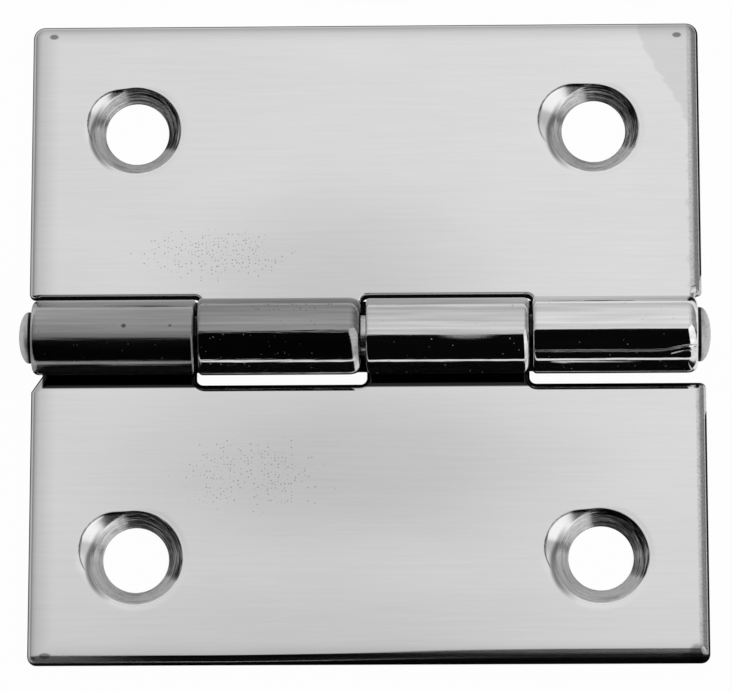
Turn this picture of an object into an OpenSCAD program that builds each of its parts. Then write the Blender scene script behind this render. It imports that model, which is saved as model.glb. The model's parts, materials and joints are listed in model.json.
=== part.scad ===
// Butt hinge lying open and flat, with its screw side up.
// Two leaves are cut from sheet and their knuckles are rolled round one headed pin.
// X runs along the pin, the upper leaf lies towards +Y and the lower leaf towards -Y.
// The backs of both leaves lie on z = 0, and the origin is under the middle of the pin.

/* [Leaves] */
// Length of each leaf along the pin
leaf_l = 50; // [40:0.5:80]
// Distance from the middle of the pin to the free edge of the upper leaf
upper_reach = 24.5; // [22:0.1:45]
// Distance from the middle of the pin to the free edge of the lower leaf
lower_reach = 24.1; // [22:0.1:45]
// Thickness of the sheet
sheet_t = 1.2; // [1.1:0.05:1.6]
// Radius of the free corners, seen from the front
corner_r = 0.9; // [0.75:0.05:3]
// Radius of the corners beside the cut-outs, seen from the front
inner_corner_r = 0.4; // [0.4:0.05:1]
// Rounding of the front edges along the outside of a leaf
rim_round = 0.7; // [0.4:0.05:0.7]
// Rounding of the front edges along the cut-outs and the knuckles
cut_round = 0.4; // [0.1:0.05:0.4]
// Rounding of the back edges
back_round = 0.25; // [0.1:0.05:0.3]
// How far the upper leaf was blanked off the middle of its own knuckles
upper_offset = 0.08; // [0:0.02:0.3]
// How far the lower leaf was blanked off the middle of its own knuckles
lower_offset = 0.22; // [0:0.02:0.3]

/* [Barrel] */
// Diameter of the pin
pin_d = 3.1; // [2.4:0.1:4]
// Running clearance between the pin and a knuckle, on the radius
pin_clearance = 0.05; // [0.02:0.01:0.1]
// Pairs of knuckles, one of each leaf
knuckle_pairs = 2; // [1:1:4]
// Gap between neighbouring knuckles
knuckle_gap = 0.3; // [0.2:0.05:0.8]
// How far the barrel stops short of the ends of the leaves
end_inset = 0.5; // [0.4:0.05:1.5]
// How far the upper leaf has slid along the pin in its end play
end_float = 0.08; // [0:0.02:0.15]
// Clearance between a cut-out and the knuckle that turns in it
cut_clearance = 0.55; // [0.4:0.05:1.5]
// Fillet in the inner corners of a cut-out
root_r = 0.45; // [0.2:0.05:1]
// How far the slanted shoulder at an end of the barrel runs back along the leaf
shoulder_l = 0.55; // [0.3:0.05:2]
// Gap that is left where a rolled knuckle closes on its leaf
seam_gap = 0.05; // [0.03:0.01:0.15]

/* [Pin heads] */
// How far a head stands out round the pin
head_overhang = 0.42; // [0.3:0.02:0.8]
// Height of the straight rim under the dome
head_rim = 0.15; // [0.05:0.05:0.5]
// Height of the dome
head_dome = 0.8; // [0.4:0.05:1.5]
// End play between a head and the barrel
head_gap = 0.06; // [0.02:0.01:0.2]

/* [Screw holes] */
// Diameter of the screw holes
hole_d = 4.7; // [3:0.1:5]
// Distance from the holes to the ends of the leaf
hole_side = 7.9; // [5.5:0.1:12]
// Distance from the middle of the pin to the holes
hole_reach = 16.25; // [12:0.05:17]
// Depth of the countersink
sink_depth = 1; // [0.6:0.05:1.05]
// Angle of the countersink
sink_angle = 90; // [80:1:110]
// How much smaller in radius than the countersink the place is that polishing has washed out beside it
wash_inset = 0.6; // [0.2:0.05:1]
// Depth of the washed-out place at its middle
wash_depth = 0.66; // [0.2:0.02:0.8]
// How far the washed-out place lies towards -X of its hole
wash_x = 1.4; // [0.5:0.1:2]
// How far the washed-out place lies towards +Y of its hole
wash_y = 0.65; // [-1:0.05:1]

/* [Hidden] */

$fn = 96;
// Overlap that lets a cut pass clean through a face
over = 0.1;

bore_r = pin_d / 2 + pin_clearance;
barrel_r = bore_r + sheet_t;
barrel_l = leaf_l - 2 * end_inset;
knuckle_count = 2 * knuckle_pairs;
knuckle_l = (barrel_l - (knuckle_count - 1) * knuckle_gap) / knuckle_count;
// Edge of the cut-outs, from the middle of the pin
cut_y = barrel_r + cut_clearance;
sink_slope = tan(sink_angle / 2);
wash_r = hole_d / 2 + sink_depth * sink_slope - wash_inset;
// The sheet is rolled until its end face stands this far from straight down
seam_angle = acos((barrel_r - sheet_t - seam_gap) / barrel_r);
roll_angle = 360 - seam_angle;

// Left end of a knuckle, counted from the left end of the barrel
function knuckle_x(i) = i * (knuckle_l + knuckle_gap) - barrel_l / 2;

// Knuckles of a leaf: the lower leaf has the even ones and the upper leaf the odd ones
function leaf_knuckles(first) = [first : 2 : knuckle_count - 1];

// What a square corner at the origin loses when it is rounded
module corner_waste(r) {
  difference() {
    translate([-over, -over])
      square(r + over);
    translate([r, r])
      circle(r);
  }
}

// What an edge of the sheet loses to its two roundings, with the metal on the +X side
module edge_waste(front_r) {
  corner_waste(back_round);
  translate([0, sheet_t])
    mirror([0, 1])
      corner_waste(front_r);
}

// Waste along a straight edge from the origin towards +Y, with the metal on the +X side
module straight_waste(length, front_r) {
  translate([0, length, 0])
    rotate([90, 0, 0])
      linear_extrude(length)
        edge_waste(front_r);
}

// Waste round a quarter turn of an outer corner, whose middle is at the origin
module outer_corner_waste(plan_r, front_r) {
  rotate_extrude(angle = 90)
    intersection() {
      translate([plan_r, 0])
        mirror([1, 0])
          edge_waste(front_r);
      // A rounding can reach no further in than the middle of its corner
      translate([0, -over])
        square([plan_r + over, sheet_t + 2 * over]);
    }
}

// Waste round a quarter turn of an inner corner, whose middle is at the origin
module inner_corner_waste(plan_r, front_r) {
  rotate_extrude(angle = 90)
    translate([plan_r, 0])
      edge_waste(front_r);
}

// Metal that fills the corner between a neck and the edge of a cut-out
module root_fillet() {
  difference() {
    square(root_r);
    translate([root_r, root_r])
      circle(root_r);
  }
}

// Left and right ends of the cut-out that the other leaf's knuckle turns in
function cut_left(i, side_x) = i > 0 ? knuckle_x(i) - knuckle_gap : side_x;
function cut_right(i, side_x) = i < knuckle_count - 1 ? knuckle_x(i) + knuckle_l + knuckle_gap : side_x;

// Plan of a leaf: the plate, the necks of its knuckles and the fillets at their roots
module leaf_plan(first, left_x, reach) {
  right_x = left_x + leaf_l;
  difference() {
    translate([left_x, cut_y])
      square([leaf_l, reach - cut_y]);
    translate([left_x, reach])
      mirror([0, 1])
        corner_waste(corner_r);
    translate([right_x, reach])
      rotate(180)
        corner_waste(corner_r);
    if (first == 0) {
      translate([left_x, cut_y])
        shoulder_waste(-barrel_l / 2 - left_x);
      translate([right_x, cut_y])
        mirror([1, 0])
          corner_waste(inner_corner_r);
    } else {
      translate([left_x, cut_y])
        corner_waste(inner_corner_r);
      translate([right_x, cut_y])
        mirror([1, 0])
          shoulder_waste(right_x - barrel_l / 2);
    }
  }
  for (i = leaf_knuckles(first)) {
    translate([knuckle_x(i), 0])
      square([knuckle_l, cut_y + over]);
    if (i > 0)
      translate([knuckle_x(i), cut_y])
        rotate(180)
          root_fillet();
    if (i < knuckle_count - 1)
      translate([knuckle_x(i) + knuckle_l, cut_y])
        mirror([0, 1])
          root_fillet();
  }
}

// Plan of what the slanted shoulder takes off the corner beside an end knuckle
module shoulder_waste(inset) {
  polygon([[-over, -over], [inset, -over], [inset, 0], [0, shoulder_l], [-over, shoulder_l]]);
}

// Waste along the outside of a leaf, round its free corners
module rim_waste(left_x, reach) {
  right_x = left_x + leaf_l;
  side_l = reach - corner_r - cut_y + over;
  translate([left_x, cut_y - over, 0])
    straight_waste(side_l, rim_round);
  translate([right_x, cut_y - over, 0])
    mirror([1, 0, 0])
      straight_waste(side_l, rim_round);
  translate([right_x - corner_r, reach, 0])
    rotate([0, 0, 90])
      mirror([1, 0, 0])
        straight_waste(leaf_l - 2 * corner_r, rim_round);
  translate([right_x - corner_r, reach - corner_r, 0])
    outer_corner_waste(corner_r, rim_round);
  translate([left_x + corner_r, reach - corner_r, 0])
    rotate([0, 0, 90])
      outer_corner_waste(corner_r, rim_round);
}

// Waste round one cut-out and along the necks beside it
module cut_out_waste(i, left_x) {
  start_x = cut_left(i, left_x);
  end_x = cut_right(i, left_x + leaf_l);
  start_r = i > 0 ? root_r : inner_corner_r;
  end_r = i < knuckle_count - 1 ? root_r : inner_corner_r;
  translate([end_x - end_r, cut_y, 0])
    rotate([0, 0, 90])
      straight_waste(end_x - end_r - start_x - start_r, cut_round);
  if (i > 0) {
    translate([start_x + root_r, cut_y - root_r, 0])
      rotate([0, 0, 90])
        inner_corner_waste(root_r, cut_round);
    translate([start_x, 0, 0])
      mirror([1, 0, 0])
        straight_waste(cut_y - root_r, cut_round);
  } else {
    translate([start_x + inner_corner_r, cut_y + inner_corner_r, 0])
      rotate([0, 0, 180])
        outer_corner_waste(inner_corner_r, cut_round);
  }
  if (i < knuckle_count - 1) {
    translate([end_x - root_r, cut_y - root_r, 0])
      inner_corner_waste(root_r, cut_round);
    translate([end_x, 0, 0])
      straight_waste(cut_y - root_r, cut_round);
  } else {
    translate([end_x - inner_corner_r, cut_y + inner_corner_r, 0])
      rotate([0, 0, 270])
        outer_corner_waste(inner_corner_r, cut_round);
  }
}

// Waste along the outer side of an end knuckle's neck and along its slanted shoulder
module end_neck_waste(inset) {
  straight_waste(cut_y, cut_round);
  translate([0, cut_y, 0])
    rotate([0, 0, atan2(inset, shoulder_l)])
      straight_waste(norm([inset, shoulder_l]), cut_round);
}

// Flat part of a leaf, lying towards +Y of the pin
module leaf_plate(first, left_x, reach) {
  difference() {
    linear_extrude(sheet_t)
      leaf_plan(first, left_x, reach);
    rim_waste(left_x, reach);
    for (i = leaf_knuckles(1 - first))
      cut_out_waste(i, left_x);
    if (first == 0)
      translate([-barrel_l / 2, 0, 0])
        end_neck_waste(-barrel_l / 2 - left_x);
    else
      translate([barrel_l / 2, 0, 0])
        mirror([1, 0, 0])
          end_neck_waste(left_x + leaf_l - barrel_l / 2);
  }
}

// Rolled part of a knuckle, from straight below the pin round to the seam
module knuckle_roll() {
  translate([knuckle_l, 0, barrel_r])
    rotate([180, 90, 0])
      rotate_extrude(angle = roll_angle)
        difference() {
          translate([bore_r, 0])
            square([sheet_t, knuckle_l]);
          translate([barrel_r, 0])
            rotate(90)
              edge_waste(cut_round);
          translate([barrel_r, knuckle_l])
            mirror([0, 1])
              rotate(90)
                edge_waste(cut_round);
        }
}

// Leaf towards +Y with its knuckles rolled, before its screw holes are made
module leaf_blank(first, offset_x, reach) {
  leaf_plate(first, offset_x - leaf_l / 2, reach);
  for (i = leaf_knuckles(first))
    translate([knuckle_x(i), 0, 0])
      knuckle_roll();
}

// Screw hole with its countersink and the washed-out place beside it
module screw_hole() {
  sink_h = sink_depth + over;
  translate([0, 0, -over])
    cylinder(h = sheet_t + 2 * over, d = hole_d);
  translate([0, 0, sheet_t - sink_depth])
    cylinder(h = sink_h, r1 = hole_d / 2, r2 = hole_d / 2 + sink_h * sink_slope);
  translate([-wash_x, wash_y, sheet_t - wash_depth])
    cylinder(h = 2 * wash_depth, r1 = 0, r2 = 2 * wash_r);
}

module screw_holes(middle_x, y) {
  for (side = [-1, 1])
    translate([middle_x + side * (leaf_l / 2 - hole_side), y, 0])
      screw_hole();
}

module upper_leaf() {
  color("lightgray")
    translate([-end_float, 0, 0])
      difference() {
        leaf_blank(1, upper_offset, upper_reach);
        screw_holes(upper_offset, hole_reach);
      }
}

module lower_leaf() {
  color("silver")
    difference() {
      mirror([0, 1, 0])
        leaf_blank(0, lower_offset, lower_reach);
      screw_holes(lower_offset, -hole_reach);
    }
}

// Half of the pin's section: the shank, the straight rims and the domes of its two heads
module pin_section() {
  head_r = pin_d / 2 + head_overhang;
  under_x = barrel_l / 2 + head_gap;
  dome_r = (head_r * head_r + head_dome * head_dome) / (2 * head_dome);
  square([pin_d / 2, under_x + head_rim]);
  translate([0, under_x])
    square([head_r, head_rim]);
  intersection() {
    translate([0, under_x + head_rim + head_dome - dome_r])
      circle(dome_r);
    translate([0, under_x + head_rim])
      square([head_r, head_dome]);
  }
}

module pin() {
  color("gainsboro")
    translate([0, 0, barrel_r])
      rotate([0, 90, 0])
        rotate_extrude() {
          pin_section();
          mirror([0, 1])
            pin_section();
        }
}

upper_leaf();
lower_leaf();
pin();
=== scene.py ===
import json
import math

import bmesh
import bpy
from mathutils import Matrix, Vector
from mathutils import noise as value_noise
from mathutils.geometry import delaunay_2d_cdt


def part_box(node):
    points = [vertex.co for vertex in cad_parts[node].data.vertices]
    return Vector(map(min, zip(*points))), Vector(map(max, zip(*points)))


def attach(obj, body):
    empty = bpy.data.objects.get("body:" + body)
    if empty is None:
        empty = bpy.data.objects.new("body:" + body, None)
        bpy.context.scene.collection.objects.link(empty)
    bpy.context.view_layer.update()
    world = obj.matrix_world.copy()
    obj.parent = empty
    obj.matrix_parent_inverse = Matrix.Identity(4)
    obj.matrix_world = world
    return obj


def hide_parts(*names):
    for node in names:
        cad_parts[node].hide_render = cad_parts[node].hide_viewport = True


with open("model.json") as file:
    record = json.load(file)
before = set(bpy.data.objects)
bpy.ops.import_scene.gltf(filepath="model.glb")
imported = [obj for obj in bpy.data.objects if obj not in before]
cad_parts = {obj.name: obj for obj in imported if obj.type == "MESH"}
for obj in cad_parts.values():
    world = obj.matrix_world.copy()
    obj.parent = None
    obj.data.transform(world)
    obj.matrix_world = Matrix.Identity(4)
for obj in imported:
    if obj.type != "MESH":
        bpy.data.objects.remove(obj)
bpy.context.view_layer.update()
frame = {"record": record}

# The floor: a white sweep of paper under the hinge, bright enough that only a faint shadow stays on it.
# It is a plain sheet, lit from above, and the polished steel mirrors it as the lens sees it.
floor_half = 2.0
floor_drop = 0.00005
floor_glow = 0.975
bare_paper = (0.9, 0.9, 0.9, 1)
painted_shade_paper = (0.02, 0.02, 0.02, 1)
# Close round the hinge the paper is painted dark, as painted shade. Each pair is where that painted shade
# starts and stops fading.
shade_side = (0.0275, 0.0320)
shade_back = (0.0250, 0.0280)
shade_front = (-0.0370, -0.0400)
shade_left = (-0.0256, -0.0262)
left_fading = 0.5
barrel_end = (0.0246, 0.0254)
barrel_end_half = 0.0052
slit_middle = 0.0006
slit_half_width = 0.0027
slit_half_length = 0.0243

floor_mesh = bpy.data.meshes.new("floor")
floor_mesh.from_pydata(
    [(-floor_half, -floor_half, -floor_drop), (floor_half, -floor_half, -floor_drop),
     (floor_half, floor_half, -floor_drop), (-floor_half, floor_half, -floor_drop)],
    [], [(0, 1, 2, 3)])
floor = bpy.data.objects.new("floor", floor_mesh)
bpy.context.scene.collection.objects.link(floor)


def add_node(tree, kind, **settings):
    """A new node of a tree, with its plain settings."""
    node = tree.nodes.new(kind)
    for name, value in settings.items():
        setattr(node, name, value)
    return node


def feed(tree, socket, value):
    """Links a node's output to a socket, or sets the socket to a number or colour."""
    if isinstance(value, bpy.types.NodeSocket):
        tree.links.new(value, socket)
    else:
        socket.default_value = value


def calc(tree, operation, *values):
    """One Math node, from numbers or other nodes' outputs."""
    node = add_node(tree, "ShaderNodeMath", operation=operation)
    for socket, value in zip(node.inputs, values):
        feed(tree, socket, value)
    return node.outputs[0]


def times(tree, first, *others):
    """The product of some values."""
    for other in others:
        first = calc(tree, "MULTIPLY", first, other)
    return first


def rest_of(tree, share):
    """What a share leaves of 1."""
    return calc(tree, "SUBTRACT", 1.0, share)


def within(tree, value, middle, half):
    """1 where a value is less than half away from a middle, and 0 elsewhere."""
    return calc(tree, "LESS_THAN", calc(tree, "ABSOLUTE", calc(tree, "SUBTRACT", value, middle)), half)


def step_up(tree, value, low, high):
    """Rises smoothly from 0 at low to 1 at high."""
    node = add_node(tree, "ShaderNodeMapRange", interpolation_type="SMOOTHSTEP")
    feed(tree, node.inputs["Value"], value)
    feed(tree, node.inputs["From Min"], low)
    feed(tree, node.inputs["From Max"], high)
    return node.outputs["Result"]


floor_paint = bpy.data.materials.new("white floor")
floor_paint.use_nodes = True
tree = floor_paint.node_tree
tree.nodes.clear()
place = add_node(tree, "ShaderNodeSeparateXYZ")
feed(tree, place.inputs[0], add_node(tree, "ShaderNodeNewGeometry").outputs["Position"])
floor_x, floor_y, _ = place.outputs
light_path = add_node(tree, "ShaderNodeLightPath")
# Painted shade: the polished edges mirror a strip of floor beside the hinge that is painted dark
past_side = step_up(tree, calc(tree, "ABSOLUTE", floor_x), *shade_side)
past_back = step_up(tree, floor_y, *shade_back)
past_front = step_up(tree, floor_y, *shade_front)
away = calc(tree, "MAXIMUM", past_side, calc(tree, "MAXIMUM", past_back, past_front))
under = times(tree, light_path.outputs["Is Glossy Ray"], rest_of(tree, away))
past_left = times(tree, step_up(tree, floor_x, *shade_left), left_fading)
at_barrel_end = times(tree, step_up(tree, floor_x, *barrel_end), within(tree, floor_y, 0.0, barrel_end_half))
under = times(tree, under, rest_of(tree, past_left), rest_of(tree, at_barrel_end))
# Painted shade: the slits between the knuckles look down on floor painted dark, right under the barrel
below_slit = times(tree, within(tree, floor_y, slit_middle, slit_half_width),
                   within(tree, floor_x, 0.0, slit_half_length))
unlit = calc(tree, "MAXIMUM", under, times(tree, light_path.outputs["Is Camera Ray"], below_slit))
matt = add_node(tree, "ShaderNodeBsdfDiffuse")
tone = add_node(tree, "ShaderNodeMix", data_type="RGBA")
feed(tree, tone.inputs[0], unlit)
feed(tree, tone.inputs[6], bare_paper)
feed(tree, tone.inputs[7], painted_shade_paper)
feed(tree, matt.inputs["Color"], tone.outputs[2])
# White for what the lens sees straight, in a mirror or through glass, and plain paper for all other light
seen = calc(tree, "MAXIMUM", light_path.outputs["Is Camera Ray"], light_path.outputs["Is Glossy Ray"])
seen = calc(tree, "MAXIMUM", seen, light_path.outputs["Is Transmission Ray"])
glow = add_node(tree, "ShaderNodeEmission")
blend = add_node(tree, "ShaderNodeMixShader")
feed(tree, blend.inputs[0], times(tree, seen, rest_of(tree, unlit), floor_glow))
feed(tree, blend.inputs[1], matt.outputs[0])
feed(tree, blend.inputs[2], glow.outputs[0])
out = add_node(tree, "ShaderNodeOutputMaterial")
feed(tree, out.inputs["Surface"], blend.outputs[0])
floor_mesh.materials.append(floor_paint)

# The studio light: a pale tent over the hinge, with a dark opening on the camera's side and a tall window.
# The polished steel mirrors the tent, so the tent's tones are what draws the metal. They are given from the
# left over the top to the right, and from front to back, as (degrees from overhead, tone).
tones_across = [(-90, 0.50), (-63, 0.62), (-37, 0.78), (-12, 0.90), (-5, 0.93), (2, 1.0), (9, 0.98),
                (16, 0.86), (26, 0.66), (35, 0.44), (50, 0.38), (63, 0.42), (78, 0.36), (90, 0.28)]
tones_along = [(-10, 0.84), (8, 0.86), (12, 0.96), (17, 1.0), (28, 0.93), (50, 0.86), (90, 0.68), (120, 0.6)]
low_left_tone = 0.40
low_left_bearings = (140.0, 165.0)
low_left_heights = (30.0, 5.0)
opening_tone = 0.003
opening_edge = -6.4
opening_blur = 1.5
window_tones = (0.92, 1.28)
window_heights = (12.0, 34.0)
# Each straight edge of the window: the direction towards its inside, and how soft it is
window_edges = [(0.585, -0.811, -0.155, 0.06), (-0.27, -1.0, 0.305, 0.03), (1.0, 0.33, -0.08, 0.03)]

world = bpy.context.scene.world or bpy.data.worlds.new("studio")
bpy.context.scene.world = world
world.use_nodes = True
tree = world.node_tree
tree.nodes.clear()
split = add_node(tree, "ShaderNodeSeparateXYZ")
feed(tree, split.inputs[0], add_node(tree, "ShaderNodeTexCoord").outputs["Generated"])
dir_x, dir_y, dir_z = split.outputs


def degrees(tree, value):
    """An angle in degrees, from one in radians."""
    return calc(tree, "DEGREES", value)


def between(tree, a, b, share):
    """a where share is 0, b where it is 1."""
    node = add_node(tree, "ShaderNodeMix", data_type="FLOAT")
    feed(tree, node.inputs[0], share)
    feed(tree, node.inputs[2], a)
    feed(tree, node.inputs[3], b)
    return node.outputs[0]


def spread(tree, value, low, high):
    """Carries a value that runs from 0 to 1 over to the range from low to high."""
    return calc(tree, "MULTIPLY_ADD", value, high - low, low)


def beyond(tree, across, along, up, blur):
    """1 on the side of a straight edge of the tent that (across, along, up) points to."""
    sum_xy = calc(tree, "ADD", times(tree, dir_x, across), times(tree, dir_y, along))
    return step_up(tree, calc(tree, "ADD", sum_xy, times(tree, dir_z, up)), -blur, blur)


def graded(tree, value, stops):
    """A tone that follows value through (value, tone) stops."""
    low, high = stops[0][0], stops[-1][0]
    node = add_node(tree, "ShaderNodeValToRGB")
    feed(tree, node.inputs[0], calc(tree, "DIVIDE", calc(tree, "SUBTRACT", value, low), high - low))
    ramp = node.color_ramp.elements
    ramp[0].color = (stops[0][1],) * 3 + (1,)
    ramp[1].color = (stops[-1][1],) * 3 + (1,)
    for place, tone in stops[1:-1]:
        ramp.new((place - low) / (high - low)).color = (tone,) * 3 + (1,)
    return node.outputs[0]


lean = degrees(tree, calc(tree, "ARCTAN2", dir_y, dir_z))
height = degrees(tree, calc(tree, "ARCSINE", dir_z))
bearing = degrees(tree, calc(tree, "ARCTAN2", dir_y, dir_x))
aside = degrees(tree, calc(tree, "ARCSINE", dir_x))

# Tent: lightest overhead, greyer towards the back, with a grey gap between its panels at the right
tent = times(tree, graded(tree, aside, tones_across), graded(tree, lean, tones_along))
low_left = times(tree, step_up(tree, bearing, *low_left_bearings), step_up(tree, height, *low_left_heights))
tent = between(tree, tent, low_left_tone, low_left)
# The opening is dark from just before the hinge's own zenith down to the horizon
past_opening = step_up(tree, lean, opening_edge - opening_blur, opening_edge + opening_blur)
tent = between(tree, opening_tone, tent, past_opening)
# The window stands at the right front, from the floor to nearly overhead. It fades towards the floor, so that
# the leaves seen from low down still stand out against the white.
window = times(tree, *[beyond(tree, *edge) for edge in window_edges])
window_tone = spread(tree, step_up(tree, height, *window_heights), *window_tones)
tent = between(tree, tent, window_tone, window)
background = add_node(tree, "ShaderNodeBackground")
light_path = add_node(tree, "ShaderNodeLightPath")
feed(tree, background.inputs["Color"], (1, 1, 1, 1))
feed(tree, background.inputs["Strength"], between(tree, tent, 1.0, light_path.outputs["Is Camera Ray"]))
out = add_node(tree, "ShaderNodeOutputWorld")
feed(tree, out.inputs["Surface"], background.outputs[0])

# The leaves: each is one blank of bright steel sheet, stamped to shape, with its edges rounded by tumbling
# and buffing and its two tongues rolled round the pin. The sheet's back is the outside of each knuckle.
mm = 0.001
sheet = 1.2
barrel_r = frame["record"]["behaviour"]["joints"][0]["pos_m"][2] / mm
leaf_length = (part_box("lower_leaf")[1].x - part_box("lower_leaf")[0].x) / mm
barrel_length = leaf_length - 1.0
knuckle_count = 4
knuckle_gap = 0.3
knuckle_length = (barrel_length - (knuckle_count - 1) * knuckle_gap) / knuckle_count
root_fillet = 0.45
shoulder_r = 0.45
free_corner_r = {1: 0.9, -1: 0.65}
neck_start = 2.2
back_round = 0.25
neck_round = 0.4
rim_round = 0.7
stamped_r = 0.08
flat_lap = 0.06
corner_lead = 0.07
seam_gap = 0.05
roll_steps = 84
roll_inner_round = 0.25
roll_outer_round = 0.5
roll_formed_at = 1.1
# The lower leaf's left shoulder slants down to a neck that is set in from the end of the roll
slant_rise = 0.46
slant_foot = 0.22
slant_neck_in = 0.55
# The upper leaf's right roll is a little longer, and its shoulder is a small rounded corner
long_roll = 0.1
far_shoulder_rise = 0.1
far_shoulder_r = 0.3
far_shoulder_round = 0.6
end_neck_round = 0.5


def knuckle_left(number):
    """Left end of a knuckle, counted from the left end of the barrel."""
    return number * (knuckle_length + knuckle_gap) - barrel_length / 2


def edge_line(corners, insets, heights, steps=7, least_radius=0.05):
    """A line along the edge of the sheet, moved inwards and with rounded corners. Metal lies to its left."""
    along = [(Vector(b[:2]) - Vector(a[:2])).normalized() for a, b in zip(corners, corners[1:])]
    inward = [Vector((-u.y, u.x)) for u in along]
    arcs = [[Vector(corners[0][:2]) + inward[0] * insets[0]]]
    for k in range(1, len(corners) - 1):
        u, v, nu, nv = along[k - 1], along[k], inward[k - 1], inward[k]
        d1, d2 = insets[k - 1], insets[k]
        sine = u.x * v.y - u.y * v.x
        turn = math.atan2(sine, u.dot(v))
        meet = Vector((d1 * nv.y - d2 * nu.y, d2 * nu.x - d1 * nv.x)) / sine + Vector(corners[k][:2])
        side = math.copysign(1, turn)
        radius = max(corners[k][2] - side * (d1 + d2) / 2, least_radius)
        start = meet - u * radius * math.tan(abs(turn) / 2)
        middle = start + nu * radius * side
        arc = []
        for step in range(steps + 1):
            spoke = start - middle
            spoke.rotate(Matrix.Rotation(turn * step / steps, 2))
            arc.append(middle + spoke)
        arcs.append(arc)
    arcs.append([Vector(corners[-1][:2]) + inward[-1] * insets[-1]])
    # A point close to each end of a straight part keeps the bend of the corner out of it
    line = []
    for k, (arc, next_arc) in enumerate(zip(arcs, arcs[1:])):
        for step, spot in enumerate(arc):
            before = heights[max(k - 1, 0)]
            line.append((spot.x, spot.y, before + (heights[k] - before) * step / max(len(arc) - 1, 1)))
        straight = next_arc[0] - arc[-1]
        near_end = straight * min(corner_lead / max(straight.length, 0.01), 0.3)
        for spot in (arc[-1] + near_end, next_arc[0] - near_end):
            line.append((spot.x, spot.y, heights[k]))
    line.append((arcs[-1][0].x, arcs[-1][0].y, heights[-1]))
    return line


back_points = 7
front_points = 11


def edge_section(front, back):
    """Points round the edge of the sheet, from its back face to its front face: (inset, height)."""
    points = [(back + flat_lap, 0.0)]
    for step in range(back_points):
        angle = math.pi / 2 * step / (back_points - 1)
        points.append((back * (1 - math.sin(angle)), back * (1 - math.cos(angle))))
    for step in range(front_points):
        angle = math.pi / 2 * step / (front_points - 1)
        points.append((front * (1 - math.cos(angle)), sheet - front * (1 - math.sin(angle))))
    points.append((front + flat_lap, sheet))
    return points


def soft_min(a, b, width):
    """The lower of two heights, with the corner between them rounded over."""
    near = max(width - abs(a - b), 0.0) / width
    return min(a, b) - near * near * width / 4


def ease(value, low, high):
    """0 below low, 1 above high, and a smooth rise between them."""
    share = min(max((value - low) / (high - low), 0.0), 1.0)
    return share * share * (3 - 2 * share)


def toward(angle, side, low, high):
    """Rises from 0 to 1 as an angle turns towards a side, given in degrees, between two cosines."""
    return ease(math.cos(angle - math.radians(side)), low, high)


# The countersinks: a cone cut with a chattering tool, and beside it a place that the wheel washed out
hole_side = 7.9
hole_reach = 16.25
sink_floor = 0.2
patch_r = 4.7
patch_flat = 0.2
patch_spokes = 144
ring_step = 0.025
fine_rings = 48
coarse_rings = 18
bore_steps = [(0.0, 0.08), (0.025, 0.025), (0.08, 0.0), (0.2, 0.0)]
grooves = [(0.0034, 20.3), (0.0022, 37.1), (0.0012, 58.7)]
wash_hull = 12
wash_step = 0.10
wash_rise = 0.02
wash_fall = 0.66
lip_drop = 0.10
lip_w = 0.25
outline_shade_w = 0.07


def sink_height(x, y, hole_r, sink_r, wash_x, wash_y, wash_r, phase):
    """Front face round a screw hole: its height, how far it is turned and washed out, its painted shade
    outline, and its scored rings with painted light and shade.
    """
    from_hole = math.hypot(x, y)
    around = math.atan2(y, x)
    facing = math.atan2(y - wash_y, x - wash_x)
    slope = (sheet - sink_floor) / (sink_r - hole_r)
    cone = sink_floor + (from_hole - hole_r) * slope
    rings = 0.0
    for k, (depth, pitch) in enumerate(grooves, 1):
        rings += depth * math.sin(from_hole * pitch + k * phase)
    torn = 0.5 + 0.5 * toward(around, 60, -0.2, 0.7)
    cone += rings * torn * ease(from_hole, hole_r, hole_r + 0.1) * ease(sheet - cone, 0.0, 0.08)

    # The washed-out place runs into the rim of the countersink along the tangents to both
    inside = -patch_r
    for k in range(wash_hull + 1):
        share = k / wash_hull
        reach = sink_r + (wash_r - sink_r) * share
        inside = max(inside, reach - math.hypot(x - wash_x * share, y - wash_y * share))
    crisp = toward(facing, 118, 0.1, 0.75)
    dish = sheet + wash_rise - wash_step * crisp * ease(inside, 0.0, 0.12) - wash_fall * inside / wash_r
    blur = 0.04 + 0.11 * (1 - crisp) * ease(cone - dish, -0.1, 0.1)
    height = soft_min(sheet, soft_min(cone, dish, 0.05), blur)
    below = ease(sheet - height, 0.003, 0.03)
    turned = below * ease(dish - cone, -0.05, 0.03)

    # Painted shade darkens the outline of the washed-out place, and the lip between it and the cone
    outline_w = outline_shade_w + outline_shade_w * toward(around, 100, 0.75, 1.0)
    outside = inside if inside > 0 else -inside * 1.8
    painted_outline_shade = ease(1 - outside / outline_w, 0.0, 0.7) * toward(facing, 140, 0.12, 0.4)
    painted_outline_shade *= ease(from_hole, sink_r - 0.02, sink_r + 0.03)
    lip = ease(1 - abs(dish - cone + lip_drop) / lip_w, 0.0, 0.9) * toward(around, 188, 0.55, 0.95)
    painted_outline_shade = max(painted_outline_shade, 0.75 * lip)

    # The tool left scored rings; painted shade darkens them at the upper right of the hole, and painted light
    # brightens them elsewhere
    coarse = Vector((from_hole * 13 + 5 * phase, 1.5 * math.cos(around), 1.5 * math.sin(around)))
    fine = Vector((from_hole * 24, 6 * math.cos(around) + phase, 6 * math.sin(around)))
    score = value_noise.noise(coarse) + 0.6 * value_noise.noise(fine)
    dark_side = toward(around, 38, 0.32, 0.50)
    rim_side = ease(from_hole, hole_r + 0.35, sink_r - 0.1)
    light_tone = 1.30 + 0.40 * score - 0.45 * toward(around, 138, 0.75, 0.97)
    dark_tone = 0.62 - 0.25 * rim_side + (0.75 + 0.6 * rim_side) * score
    rings_lit_and_shaded = max(light_tone + (dark_tone - light_tone) * dark_side, 0.04)
    return height, turned, max(below - turned, 0.0), painted_outline_shade, rings_lit_and_shaded


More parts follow.
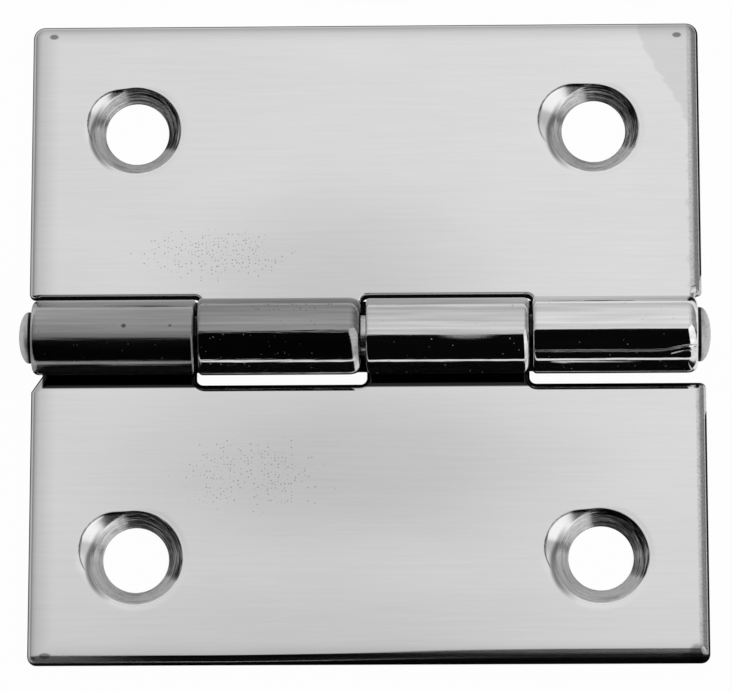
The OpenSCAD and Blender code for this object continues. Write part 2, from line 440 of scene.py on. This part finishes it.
def steel_object(name, mesh):
    """Puts a mesh in the scene, with its faces turned outwards and smoothed between the sharp edges."""
    shell = bmesh.new()
    shell.from_mesh(mesh)
    bmesh.ops.recalc_face_normals(shell, faces=shell.faces)
    shell.to_mesh(mesh)
    shell.free()
    mesh.shade_smooth()
    mesh.set_sharp_from_angle(angle=math.radians(38))
    piece = bpy.data.objects.new(name, mesh)
    bpy.context.scene.collection.objects.link(piece)
    return piece


def roll_leaf(name, side, own, left_x, reach, slide, holes, rolls, cut_edge, cut_round):
    """Builds a leaf. side is 1 for the leaf towards +Y and -1 for the other, made as its mirror image."""
    points = []
    faces = []
    marks = {"turned": {}, "washed": {}, "painted_outline_shade": {}, "rings_lit_and_shaded": {}, "rolled": {}}

    def put(row):
        start = len(points)
        points.extend(row)
        return list(range(start, len(points)))

    def join(row_a, row_b, closed=False):
        count = len(row_a)
        for k in range(count if closed else count - 1):
            n = (k + 1) % count
            faces.append((row_a[k], row_a[n], row_b[n], row_b[k]))

    right_x = left_x + leaf_length
    a, b = own
    a_left = knuckle_left(a) + slide
    a_right = a_left + knuckle_length
    b_left = knuckle_left(b) + slide
    b_right = b_left + knuckle_length + (long_roll if side > 0 else 0.0)
    between_knuckles = [(a_right, neck_start, 0), (a_right, cut_edge, root_fillet),
                        (b_left, cut_edge, root_fillet), (b_left, neck_start, 0)]
    between_rounds = [neck_round, cut_round, neck_round]
    corner_r = free_corner_r[side]
    free_edge = [(right_x, reach, corner_r), (left_x, reach, corner_r)]
    if a == 0:
        neck_x = a_left + slant_neck_in
        right_shoulder = [(b_right, cut_edge, root_fillet), (right_x, cut_edge, shoulder_r)]
        left_shoulder = [(left_x, cut_edge + slant_rise, stamped_r),
                         (neck_x, neck_start + slant_foot, stamped_r), (neck_x, neck_start, 0)]
        rounds = [neck_round, cut_round] + [rim_round] * 4 + [end_neck_round]
    else:
        right_shoulder = [(b_right, cut_edge, stamped_r),
                          (right_x, cut_edge + far_shoulder_rise, far_shoulder_r)]
        left_shoulder = [(left_x, cut_edge, shoulder_r), (a_left, cut_edge, root_fillet),
                         (a_left, neck_start, 0)]
        rounds = [end_neck_round, far_shoulder_round] + [rim_round] * 3 + [cut_round, neck_round]
    round_leaf = [(b_right, neck_start, 0)] + right_shoulder + free_edge + left_shoulder

    def build_edge(corners, edge_rounds):
        sections = [edge_section(front, back_round) for front in edge_rounds]
        lines = []
        for level in range(len(sections[0])):
            insets = [section[level][0] for section in sections]
            heights = [section[level][1] for section in sections]
            lines.append(put(edge_line(corners, insets, heights)))
        for low, high in zip(lines, lines[1:]):
            join(low, high)
        return lines

    gap_lines = build_edge(between_knuckles, between_rounds)
    rim_lines = build_edge(round_leaf, rounds)

    def roll_knuckle(left, right, left_ids, right_ids, left_round, right_round, roll):
        """Sweeps the section of a tongue from the leaf down to the pin and round it."""
        across = 8
        first_front = [points[left_ids[-1]], points[right_ids[-1]]]
        first_back = [points[left_ids[0]], points[right_ids[0]]]

        def columns(ends):
            (x0, y0, z0), (x1, _, _) = ends
            return [(x0 + (x1 - x0) * k / across, y0, z0) for k in range(1, across)]

        front_ids = put(columns(first_front))
        back_ids = put(columns(first_back))
        ring = left_ids + front_ids + right_ids[::-1] + back_ids[::-1]
        end_angle = 2 * math.pi - math.acos((barrel_r - sheet - seam_gap) / barrel_r)
        flats = [neck_start * (1 - k / 3) for k in range(1, 4)]
        turns = [end_angle * k / roll_steps for k in range(1, roll_steps + 1)]
        both_ends = [(left, 1, left_round, roll["left"]), (right, -1, right_round, roll["right"])]
        for flat, turn in [(y, 0.0) for y in flats] + [(0.0, t) for t in turns]:
            share = ease(turn, 0.0, roll_formed_at)
            sides = []
            for edge_x, sign, front, outer in both_ends:
                outer_x = back_round + (outer - back_round) * share
                outer_z = back_round + (min(outer, roll_outer_round) - back_round) * share
                inner = front + (roll_inner_round - front) * share
                row = []
                for level, (inset, height) in enumerate(edge_section(inner, 1.0)):
                    if level == 0:
                        row.append((edge_x + sign * (outer_x + flat_lap), 0.0))
                    elif level <= back_points:
                        row.append((edge_x + sign * inset * outer_x, height * outer_z))
                    else:
                        row.append((edge_x + sign * inset, height))
                sides.append(row)
            left_row, right_row = sides
            flat_across = [k / across for k in range(1, across)]
            front_span = right_row[-1][0] - left_row[-1][0]
            back_span = right_row[0][0] - left_row[0][0]
            front_row = [(left_row[-1][0] + front_span * k, sheet) for k in flat_across]
            back_row = [(left_row[0][0] + back_span * k, 0.0) for k in flat_across]
            section = left_row + front_row + right_row[::-1] + back_row[::-1]
            swell = roll["crown"] * math.sin(2 * (turn - math.pi)) * ease(turn, 0.7, 1.9)
            placed = []
            for x, depth in section:
                if turn == 0.0:
                    placed.append((x, flat, depth))
                else:
                    r = barrel_r - depth + swell * (1 - depth / sheet)
                    placed.append((x, -r * math.sin(turn), barrel_r - r * math.cos(turn)))
            next_ring = put(placed)
            for i in next_ring:
                marks["rolled"][i] = ease(turn, 0.0, 0.6)
            join(ring, next_ring, closed=True)
            ring = next_ring
        faces.append(tuple(ring))
        return front_ids, back_ids

    def end_ids(lines, which):
        return [line[which] for line in lines]

    a_front, a_back = roll_knuckle(a_left, a_right, end_ids(rim_lines, -1), end_ids(gap_lines, 0),
                                   rounds[-1], between_rounds[0], rolls[0])
    b_front, b_back = roll_knuckle(b_left, b_right, end_ids(gap_lines, -1), end_ids(rim_lines, 0),
                                   between_rounds[-1], rounds[0], rolls[1])

    front_rings = []
    back_rings = []
    spokes = [2 * math.pi * k / patch_spokes for k in range(patch_spokes)]
    for hole in holes:
        hole_r = hole["form"]["hole_r"]
        radii = [hole_r + ring_step * k for k in range(fine_rings)]
        radii += [radii[-1] + 2 * ring_step * k for k in range(1, coarse_rings + 1)]
        radii += [patch_r - 0.15, patch_r]
        rows = []
        for r in radii:
            row = []
            wear_and_shade = []
            for angle in spokes:
                x, y = r * math.cos(angle), r * math.sin(angle)
                high, hole_marks = sheet, [0.0] * 4
                if r <= patch_r - patch_flat:
                    high, *hole_marks = sink_height(x, side * y, **hole["form"])
                row.append((hole["x"] + x, hole_reach + y, high))
                wear_and_shade.append(hole_marks)
            rows.append(put(row))
            for i, hole_marks in zip(rows[-1], wear_and_shade):
                marks["turned"][i], marks["washed"][i], marks["painted_outline_shade"][i], marks["rings_lit_and_shaded"][i] = hole_marks
        for inner, outer in zip(rows, rows[1:]):
            join(inner, outer, closed=True)
        bore = []
        for wider, z in bore_steps:
            r = hole_r + wider
            circle = [(r * math.cos(angle), r * math.sin(angle)) for angle in spokes]
            bore.append(put([(hole["x"] + x, hole_reach + y, z) for x, y in circle]))
        for inner, outer in zip([rows[0]] + bore, bore):
            join(inner, outer, closed=True)
        front_rings.append(rows[-1])
        back_rings.append(bore[-1])

    def fill_face(outline, rings):
        """Fills a flat face of the sheet between its outline and the rings round its holes."""
        ids = outline + [i for ring in rings for i in ring]
        edges = []
        start = 0
        for loop in [outline] + rings:
            count = len(loop)
            edges += [(start + k, start + (k + 1) % count) for k in range(count)]
            start += count
        middles = [Vector((hole["x"], hole_reach)) for hole in holes]
        reaches = [(Vector(points[ring[0]][:2]) - middle).length for ring, middle in zip(rings, middles)]
        flat = [Vector(points[i][:2]) for i in ids]
        places, _, triangles, sources, _, _ = delaunay_2d_cdt(flat, edges, [], 1, 1e-7)
        for triangle in triangles:
            centre = sum((places[k] for k in triangle), Vector((0, 0))) / 3
            if all((centre - middle).length > reach for middle, reach in zip(middles, reaches)):
                faces.append([ids[sources[k][0]] for k in triangle])

    fill_face(gap_lines[-1] + b_front + rim_lines[-1] + a_front, front_rings)
    fill_face(gap_lines[0] + b_back + rim_lines[0] + a_back, back_rings)

    mesh = bpy.data.meshes.new(name)
    mesh.from_pydata([(x * mm, side * y * mm, z * mm) for x, y, z in points], [], faces)
    leaf = steel_object(name, mesh)
    for mark, values in marks.items():
        layer = mesh.attributes.new(mark, "FLOAT", "POINT")
        layer.data.foreach_set("value", [float(values.get(i, 0.0)) for i in range(len(points))])
    return leaf


def screw_hole(x, hole_r, sink_r, phase, wash_x=-1.4, wash_y=0.65, wash_r=2.75):
    """Place and form of one screw hole. The four were cut and polished by hand, and no two are alike."""
    form = {"hole_r": hole_r, "sink_r": sink_r, "phase": phase}
    form.update({"wash_x": wash_x, "wash_y": wash_y, "wash_r": wash_r})
    return {"x": x, "form": form}


def dress_leaf(node, side, own, slide, sinks, rolls, cut_edge, cut_round):
    """Stands a finished leaf in the place of the plain one."""
    low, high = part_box(node)
    left_x = low.x / mm
    reach = max(high.y, -low.y) / mm
    hole_xs = (left_x + hole_side, left_x + leaf_length - hole_side)
    holes = [screw_hole(x, **sink) for x, sink in zip(hole_xs, sinks)]
    leaf = roll_leaf(node + "_steel", side, own, left_x, reach, slide, holes, rolls, cut_edge, cut_round)
    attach(leaf, node.split("_")[0])
    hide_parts(node)
    return leaf


# Each leaf's two rolls, by the rounding of their ends and their crown, and its two countersinks
upper_rolls = [{"left": 0.3, "right": 0.95, "crown": 0.12}, {"left": 0.3, "right": 0.75, "crown": 0.135}]
lower_rolls = [{"left": 0.45, "right": 0.2, "crown": 0.13}, {"left": 0.2, "right": 0.45, "crown": 0.041}]
upper_sinks = [{"hole_r": 2.37, "sink_r": 3.33, "phase": 0.4, "wash_x": -1.1, "wash_y": 0.6, "wash_r": 2.6},
               {"hole_r": 2.38, "sink_r": 3.40, "phase": 1.9}]
lower_sinks = [{"hole_r": 2.43, "sink_r": 3.49, "phase": 3.1}, {"hole_r": 2.40, "sink_r": 3.53, "phase": 5.2}]
upper_leaf = dress_leaf("upper_leaf", side=1, own=(1, 3), slide=-0.08, sinks=upper_sinks, rolls=upper_rolls,
                        cut_edge=barrel_r + 0.62, cut_round=0.28)
lower_leaf = dress_leaf("lower_leaf", side=-1, own=(0, 2), slide=0.0, sinks=lower_sinks, rolls=lower_rolls,
                        cut_edge=barrel_r + 0.38, cut_round=0.66)


def mark_of(tree, name):
    """A value that the mesh carries from when it was made."""
    return add_node(tree, "ShaderNodeAttribute", attribute_name=name).outputs["Fac"]


def noise(tree, x, y, z, detail=2.0):
    """Smooth noise from 0 to 1, at a place made of three values."""
    place = add_node(tree, "ShaderNodeCombineXYZ")
    for socket, value in zip(place.inputs, (x, y, z)):
        feed(tree, socket, value)
    node = add_node(tree, "ShaderNodeTexNoise")
    feed(tree, node.inputs["Vector"], place.outputs[0])
    feed(tree, node.inputs["Scale"], 1.0)
    feed(tree, node.inputs["Detail"], detail)
    return node.outputs["Fac"]


def plus(tree, value, *factors):
    """A value with the product of some factors added to it."""
    return calc(tree, "ADD", value, times(tree, *factors))


def minus(tree, value, *factors):
    """A value with the product of some factors taken from it."""
    return calc(tree, "SUBTRACT", value, times(tree, *factors))


def dimmed(tree, tone, *shares):
    """A tone with a share of it taken away. The share is the product of the values given."""
    return times(tree, tone, rest_of(tree, times(tree, *shares)))


def blob(tree, x, y, middle, radii, hard=0.0):
    """1 in the middle of an oval place, falling to 0 at its edge."""
    u = calc(tree, "DIVIDE", calc(tree, "SUBTRACT", x, middle[0]), radii[0])
    v = calc(tree, "DIVIDE", calc(tree, "SUBTRACT", y, middle[1]), radii[1])
    reach = calc(tree, "SQRT", calc(tree, "ADD", times(tree, u, u), times(tree, v, v)))
    return step_up(tree, reach, 1.0, hard)


def new_group(name, values, results):
    """An empty shader group with its sockets."""
    group = bpy.data.node_groups.new(name, "ShaderNodeTree")
    for label in values:
        group.interface.new_socket(label, in_out="INPUT", socket_type="NodeSocketFloat")
    for label in results:
        group.interface.new_socket(label, in_out="OUTPUT", socket_type="NodeSocketFloat")
    return group, add_node(group, "NodeGroupInput"), add_node(group, "NodeGroupOutput")


# Buffing marks: fine lines and streaks along the barrel, crossed by faint clouds, on both leaves
line_along, line_across = 0.22, 15.0
streak_across = 3.2
cloud_along, cloud_across = 0.11, 0.22
buffing, given, result = new_group("buffing marks", ["X", "Y", "Z", "Streak"], ["Lines", "Streaks", "Clouds"])
gx, gy, gz, streak_along = given.outputs[:4]
for label, along, across, detail in (("Lines", line_along, line_across, 3.0),
                                     ("Streaks", streak_along, streak_across, 4.0),
                                     ("Clouds", cloud_along, cloud_across, 3.0)):
    stretched = times(buffing, gx, along), times(buffing, gy, across), times(buffing, gz, across)
    feed(buffing, result.inputs[label], noise(buffing, *stretched, detail))

# Pitting: small rust pits, left where the mill scale was deepest
pits_per_mm = 4.0
pit_radii = (0.08, 0.30)
pitting, given, result = new_group("pitting", ["X", "Y", "Z", "Share"], ["Pits"])
gx, gy, gz, share = given.outputs[:4]
cells = add_node(pitting, "ShaderNodeTexVoronoi", voronoi_dimensions="2D")
at = add_node(pitting, "ShaderNodeCombineXYZ")
feed(pitting, at.inputs[0], calc(pitting, "MULTIPLY_ADD", gz, 0.37, gx))
feed(pitting, at.inputs[1], calc(pitting, "MULTIPLY_ADD", gz, 0.61, gy))
feed(pitting, cells.inputs["Vector"], at.outputs[0])
feed(pitting, cells.inputs["Scale"], pits_per_mm)
pick = add_node(pitting, "ShaderNodeSeparateColor")
feed(pitting, pick.inputs[0], cells.outputs["Color"])
chosen = calc(pitting, "LESS_THAN", pick.outputs[0], share)
deep = step_up(pitting, cells.outputs["Distance"], spread(pitting, pick.outputs[1], *pit_radii), 0.05)
feed(pitting, result.inputs["Pits"], times(pitting, chosen, deep))

# Painted shade on the margins: at the left and along the free edge the wheel rounds the face over a little
rounded_margin_shade, given, result = new_group("rounded margin shade", ["X", "Y", "Side"], ["Margin"])
gx, gy, leaf_side = given.outputs[:3]
from_left = step_up(rounded_margin_shade, gx, -22.6, -24.9)
free_start = calc(rounded_margin_shade, "MULTIPLY_ADD", leaf_side, 0.4, 22.5)
from_pin = times(rounded_margin_shade, gy, leaf_side)
from_free = times(rounded_margin_shade, step_up(rounded_margin_shade, from_pin, free_start, 24.4), 0.9)
feed(rounded_margin_shade, result.inputs["Margin"], calc(rounded_margin_shade, "MAXIMUM", from_left, from_free))

# Ragged edge: down the right side the wheel ran off, with a speckled strip along the very edge
ragged_edge, given, result = new_group("ragged edge", ["X", "Y", "Widens From", "Inner X", "Outer X"],
                                       ["Margin", "Outermost"])
gx, gy, widens_from, inner_x, outer_x = given.outputs[:5]
border = between(ragged_edge, 23.75, inner_x, step_up(ragged_edge, gy, widens_from, 24.0))
torn = spread(ragged_edge, noise(ragged_edge, 0.0, times(ragged_edge, gy, 0.9), 3.0, 4.0), -0.6, 1.2)
past_border = calc(ragged_edge, "SUBTRACT", gx, calc(ragged_edge, "ADD", border, torn))
feed(ragged_edge, result.inputs["Margin"], step_up(ragged_edge, past_border, -0.1, 0.25))
speckle = noise(ragged_edge, times(ragged_edge, gx, 6.0), times(ragged_edge, gy, 6.0), 2.0, 4.0)
strip = step_up(ragged_edge, gx, outer_x, calc(ragged_edge, "ADD", outer_x, 0.15))
speckled = times(ragged_edge, strip, spread(ragged_edge, speckle, 0.55, -0.15))
feed(ragged_edge, result.inputs["Outermost"], speckled)


def use_group(tree, group, *values):
    """Places a group in a material, with its values."""
    node = add_node(tree, "ShaderNodeGroup", node_tree=group)
    for socket, value in zip(node.inputs, values):
        feed(tree, socket, value)
    return node.outputs


def place_in_mm(tree):
    """The place on a piece, in millimetres from the shared origin."""
    scaled = add_node(tree, "ShaderNodeVectorMath", operation="SCALE")
    feed(tree, scaled.inputs[0], add_node(tree, "ShaderNodeTexCoord").outputs["Object"])
    feed(tree, scaled.inputs["Scale"], 1 / mm)
    split = add_node(tree, "ShaderNodeSeparateXYZ")
    feed(tree, split.inputs[0], scaled.outputs[0])
    return split.outputs


def finish_steel(tree, shader, tone, rough, relief):
    """Feeds a metal's grey tone, roughness and relief in millimetres to its shader."""
    colour = add_node(tree, "ShaderNodeCombineColor")
    for socket in colour.inputs:
        feed(tree, socket, tone)
    feed(tree, shader.inputs["Base Color"], colour.outputs[0])
    shader.inputs["Metallic"].default_value = 1
    feed(tree, shader.inputs["Roughness"], rough)
    bump = add_node(tree, "ShaderNodeBump")
    bump.inputs["Distance"].default_value = mm
    feed(tree, bump.inputs["Height"], relief)
    feed(tree, shader.inputs["Normal"], bump.outputs[0])


# Tone of clean steel, how far each kind of dirt, wear and painted shade darkens it, and single marks on the
# lower leaf
steel_tone = 0.72
margin_shade_drop = 0.26
first_roll_shade_drop = 0.62
pit_drop = 0.6
ragged_drop = 0.11
painted_shade_drop = 0.97
edge_shade_drop = 0.87
outline_shade_drop = 0.93
front_edge_y = -22.95
nicks = [((20.9, -23.72), (0.16, 0.07)), ((22.3, -23.62), (0.22, 0.06)), ((-21.4, -23.75), (0.06, 0.06))]
roll_stain = ((7.6, -0.72), (2.7, 0.30))
streak_length = 0.10
# Dents along the upper leaf's right roll: (y, half width, depth, left end)
dents = [(-1.73, 0.12, 0.055, 11.0), (-2.05, 0.09, 0.018, 22.2)]


def leaf_steel(name, side, films, sheens, split_x, darker_at, spots, pit_fields, ragged):
    """Buffed steel of one leaf. films are the tones of its two rolls, which the wheel reached less."""
    paint = bpy.data.materials.new(name)
    paint.use_nodes = True
    tree = paint.node_tree
    shader = tree.nodes["Principled BSDF"]
    x, y, z = place_in_mm(tree)
    lines, streaks, clouds = use_group(tree, buffing, x, y, z, streak_length)
    rolled, turned = mark_of(tree, "rolled"), mark_of(tree, "turned")
    washed, painted_outline_shade, rings_lit_and_shaded = mark_of(tree, "washed"), mark_of(tree, "painted_outline_shade"), mark_of(tree, "rings_lit_and_shaded")
    flat = rest_of(tree, calc(tree, "MAXIMUM", rolled, calc(tree, "MAXIMUM", turned, washed)))
    on_front = calc(tree, "GREATER_THAN", z, 0.5)
    on_right = step_up(tree, x, split_x - 0.5, split_x + 0.5)

    tone = times(tree, spread(tree, lines, 0.955, 1.045), spread(tree, clouds, 0.96, 1.04))
    tone = times(tree, tone, spread(tree, streaks, 0.965, 1.035))
    # Broad places of the flat face are darker
    for middle, radii, drop in darker_at:
        tone = dimmed(tree, tone, blob(tree, x, y, middle, radii, 0.1), flat, drop)
    # The wheel rounds over the margins a little; their greyer look is painted shade
    tone = dimmed(tree, tone, use_group(tree, rounded_margin_shade, x, y, side)[0], flat, margin_shade_drop)
    # The rolls carry a grey film of compound, wiped along the barrel in streaks
    film = between(tree, films[0], films[1], on_right)
    wiped = times(tree, film, spread(tree, streaks, 0.62, 1.38))
    tone = times(tree, tone, between(tree, 1.0, wiped, times(tree, rolled, step_up(tree, y, -2.25, -1.7))))
    if side < 0:
        # On the first roll a painted shade darkens it steadily towards the front
        first_roll_shade = times(tree, step_up(tree, y, 1.3, -1.3), rolled, rest_of(tree, on_right))
        tone = dimmed(tree, tone, first_roll_shade, first_roll_shade_drop)
    for middle, radii, drop in spots:
        tone = dimmed(tree, tone, blob(tree, x, y, middle, radii, 0.55), drop, on_front)
    pits = 0.0
    for middle, radii, share in pit_fields:
        there = times(tree, blob(tree, x, y, middle, radii, 0.3), spread(tree, streaks, -0.6, 2.6), share)
        pits = calc(tree, "MAXIMUM", pits, use_group(tree, pitting, x, y, z, there)[0])
    tone = dimmed(tree, tone, pits, pit_drop)
    # Down the right edge the wheel ran off: a ragged, darker margin
    margin, outermost = use_group(tree, ragged_edge, x, y, *ragged)
    margin = times(tree, margin, flat)
    tone = dimmed(tree, tone, margin, ragged_drop)
    tone = dimmed(tree, tone, outermost, flat)
    if side < 0:
        # Painted shade: a black line along the seam where the rolls close on the leaf
        in_seam = step_up(tree, y, -3.55, -3.42)
        tone = dimmed(tree, tone, in_seam, flat, step_up(tree, x, -24.0, -23.85), painted_shade_drop)
        # Painted shade: the front edge is darkened in a band that widens towards the right, and stays dark
        # where it turns under
        wear_and_shade = step_up(tree, x, -12.0, 18.0)
        edge_shade = step_up(tree, minus(tree, y, wear_and_shade, 0.42), -23.88, -24.06)
        tone = dimmed(tree, tone, edge_shade, edge_shade_drop)
    # Countersinks carry the tool's scored rings with painted light and shade, and a painted shade line where
    # the wheel bit into the rim
    tool = noise(tree, times(tree, x, 2.5), times(tree, y, 2.5), 0.0, 4.0)
    scored_lit_and_shaded = times(tree, spread(tree, tool, 0.85, 1.15), rings_lit_and_shaded)
    tone = times(tree, tone, between(tree, 1.0, scored_lit_and_shaded, turned))
    tone = dimmed(tree, tone, painted_outline_shade, outline_shade_drop)

    matt_side = spread(tree, step_up(tree, rings_lit_and_shaded, 0.9, 1.2), 0.24, 0.52)
    rough = plus(tree, spread(tree, lines, 0.03, 0.07), turned, matt_side)
    rough = plus(tree, rough, washed, 0.13)
    sheen = between(tree, sheens[0], sheens[1], on_right)
    rough = plus(tree, rough, sheen, rolled, spread(tree, streaks, 0.5, 1.5))
    rough = plus(tree, rough, margin, 0.06)
    # Specks of dust and fine nicks stand out on the dark side of the rolls
    dust = use_group(tree, pitting, calc(tree, "ADD", x, 40.0), y, z, times(tree, rolled, 0.035))[0]
    rough = plus(tree, rough, dust, 0.6)

    relief = times(tree, lines, spread(tree, rolled, 0.00005, 0.0004))
    relief = plus(tree, relief, streaks, rolled, spread(tree, film, 0.026, 0.0045))
    relief = minus(tree, relief, pits, 0.006)
    relief = plus(tree, relief, tool, turned, 0.012)
    if side < 0:
        rough = plus(tree, rough, blob(tree, x, y, *roll_stain, 0.2), rolled, 0.22)
        # The wheel leaned on the front edge towards the right, and rounded it further there
        over = calc(tree, "MAXIMUM", calc(tree, "SUBTRACT", front_edge_y, y), 0.0)
        relief = minus(tree, relief, wear_and_shade, times(tree, over, over), 0.40)
        rough = plus(tree, rough, wear_and_shade, step_up(tree, over, 0.0, 0.4), 0.22)
        rough = plus(tree, rough, step_up(tree, y, -23.55, -23.8), 0.10)
        for nick in nicks:
            rough = plus(tree, rough, blob(tree, x, y, *nick), 0.5)
        rough = plus(tree, rough, step_up(tree, x, -12.0, -24.0), step_up(tree, y, -23.3, -23.6), 0.26)
    else:
        # Two shallow dents run along the right-hand roll, where it was held in the tool
        wobble = noise(tree, times(tree, x, 0.9), 5.0, 1.0, 2.0)
        broken = step_up(tree, noise(tree, times(tree, x, 0.28), 9.0, 2.0, 2.0), 0.36, 0.5)
        bent_up = times(tree, step_up(tree, x, 21.5, 24.2), 0.35)
        on_roll = times(tree, rolled, calc(tree, "GREATER_THAN", z, 3.0))
        for middle, half_width, depth, from_x in dents:
            dent_y = calc(tree, "ADD", plus(tree, middle, wobble, 0.06), bent_up)
            across = calc(tree, "ABSOLUTE", calc(tree, "SUBTRACT", y, dent_y))
            dent = times(tree, step_up(tree, across, half_width, 0.0), on_roll,
                         step_up(tree, x, from_x, from_x + 0.6), spread(tree, broken, 0.85, 1.0))
            relief = minus(tree, relief, dent, depth)
            rough = plus(tree, rough, dent, 0.25)
    finish_steel(tree, shader, times(tree, tone, steel_tone), rough, relief)
    return paint


# Films and sheens are for the left roll and the right one. Each mark is a place, its radii and its strength.
upper_paint = leaf_steel(
    "upper leaf steel", 1, films=(0.42, 1.0), sheens=(0.02, 0.0), split_x=6.0,
    darker_at=[((-2.0, 3.0), (17.0, 12.0), 0.17)],
    spots=[((-23.4, 23.6), (0.42, 0.25), 0.65), ((23.4, 23.45), (0.42, 0.25), 0.65)],
    pit_fields=[((-11.3, 6.7), (6.8, 2.4), 0.6), ((-5.2, 1.7), (3.8, 0.5), 0.9)],
    ragged=(16.0, 20.2, 24.05))
lower_paint = leaf_steel(
    "lower leaf steel", -1, films=(0.52, 0.85), sheens=(0.11, 0.01), split_x=-6.0,
    darker_at=[((-1.0, -9.5), (24.0, 10.0), 0.20), ((-2.0, -22.0), (26.0, 7.0), 0.10)],
    spots=[((-23.45, -23.5), (0.55, 0.26), 0.6), ((23.45, -23.65), (0.5, 0.28), 0.35),
           ((24.25, -23.55), (0.75, 0.95), 0.5), ((-17.6, 0.25), (0.22, 0.20), 0.7),
           ((-14.2, 0.25), (0.15, 0.12), 0.6)],
    pit_fields=[((-8.4, -10.0), (6.8, 3.4), 0.5)],
    ragged=(30.0, 24.3, 24.35))
upper_leaf.data.materials.append(upper_paint)
lower_leaf.data.materials.append(lower_paint)

# The pin: a plain wire with both ends upset into domed heads, which keep it in the barrel. The heads are as
# the hammer left them, duller and pitted, and the left one is smaller and rounder than the right one.
pin_spokes = 96
pin_r = 1.55
left_head_r, right_head_r = 1.90, 2.01
left_rim_w, right_rim_w = 0.22, 0.16
left_lip_r, right_lip_r = 0.16, 0.05
end_play = 0.06


def head_line(shoulder_x, apex_x, head_r, rim_w, lip_r, dome_steps=14, lip_steps=5):
    """Outline of a head from its underside to the middle of its dome: (x along the pin, radius)."""
    line = [(shoulder_x, pin_r), (shoulder_x, head_r - lip_r)]
    for k in range(1, lip_steps + 1):
        angle = math.pi / 2 * k / lip_steps
        line.append((shoulder_x + lip_r * (1 - math.cos(angle)), head_r - lip_r + lip_r * math.sin(angle)))
    dome_x = shoulder_x + rim_w
    line.append((dome_x, head_r))
    for k in range(1, dome_steps):
        angle = math.pi / 2 * k / dome_steps
        line.append((dome_x + (apex_x - dome_x) * math.sin(angle), head_r * math.cos(angle)))
    return line + [(apex_x, 0.0)]


pin_low, pin_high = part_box("pin")
under_x = barrel_length / 2 + end_play
left_head = head_line(under_x, -pin_low.x / mm, left_head_r, left_rim_w, left_lip_r)
right_head = head_line(under_x, pin_high.x / mm, right_head_r, right_rim_w, right_lip_r)
profile = [(-x, r) for x, r in reversed(left_head)] + right_head
pin_points = []
pin_faces = []
rows = []
for x, r in profile:
    if r == 0.0:
        rows.append([len(pin_points)])
        pin_points.append((x, 0.0, barrel_r))
        continue
    rows.append(list(range(len(pin_points), len(pin_points) + pin_spokes)))
    for k in range(pin_spokes):
        angle = 2 * math.pi * k / pin_spokes
        pin_points.append((x, r * math.cos(angle), barrel_r + r * math.sin(angle)))
for row, next_row in zip(rows, rows[1:]):
    for k in range(pin_spokes):
        n = (k + 1) % pin_spokes
        if len(row) == 1:
            pin_faces.append((row[0], next_row[k], next_row[n]))
        elif len(next_row) == 1:
            pin_faces.append((row[k], row[n], next_row[0]))
        else:
            pin_faces.append((row[k], row[n], next_row[n], next_row[k]))
pin_mesh = bpy.data.meshes.new("pin_steel")
pin_mesh.from_pydata([(x * mm, y * mm, z * mm) for x, y, z in pin_points], [], pin_faces)
pin = steel_object("pin_steel", pin_mesh)
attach(pin, "pin")
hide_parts("pin")

pin_paint = bpy.data.materials.new("pin steel")
pin_paint.use_nodes = True
tree = pin_paint.node_tree
shader = tree.nodes["Principled BSDF"]
x, y, z = place_in_mm(tree)
pits = use_group(tree, pitting, x, y, z, 0.35)[0]
mottle = noise(tree, times(tree, x, 2.2), times(tree, y, 2.2), times(tree, z, 2.2), 4.0)
tone = dimmed(tree, spread(tree, mottle, 0.48, 0.68), pits, 0.5)
# Painted shade: black under each head, against the end of the barrel, and in the outer slits
from_middle = calc(tree, "ABSOLUTE", x)
under_head = times(tree, step_up(tree, from_middle, 24.3, 24.4), step_up(tree, from_middle, 24.80, 24.72))
in_slit = times(tree, step_up(tree, from_middle, 11.5, 11.6), step_up(tree, from_middle, 13.0, 12.9))
tone = dimmed(tree, tone, calc(tree, "MAXIMUM", under_head, in_slit), painted_shade_drop)
rough = spread(tree, step_up(tree, from_middle, 24.6, 24.8), 0.25, 0.55)
finish_steel(tree, shader, tone, rough, minus(tree, times(tree, mottle, 0.02), pits, 0.01))
pin_mesh.materials.append(pin_paint)

# The camera: a long lens a little over a third of a metre off, 13 degrees in front of straight down.
# It is turned slightly to the right, and shifted to bring the hinge to its place in the frame.
photo_w = 732
px_per_mm = 13.555
lens_back = 0.360
tilt_front = 13.0
turn_right = 1.44
shift_right_px = 1.6
shift_down_px = 9.4
camera_data = bpy.data.cameras.new("camera")
camera_data.sensor_fit = "HORIZONTAL"
camera_data.sensor_width = 36
camera_data.lens = px_per_mm * 1000 * lens_back * camera_data.sensor_width / photo_w
camera_data.shift_x = shift_right_px / photo_w
camera_data.shift_y = -shift_down_px / photo_w
camera_data.clip_start = 0.01
camera = bpy.data.objects.new("camera", camera_data)
bpy.context.scene.collection.objects.link(camera)
spin = Matrix.Rotation(math.radians(turn_right), 4, "Y") @ Matrix.Rotation(math.radians(tilt_front), 4, "X")
on_axis = Matrix.Translation((0, 0, barrel_r * mm))
camera.matrix_world = on_axis @ spin @ Matrix.Translation((0, 0, lens_back))
bpy.context.scene.camera = camera
bpy.context.scene.view_settings.view_transform = "Standard"
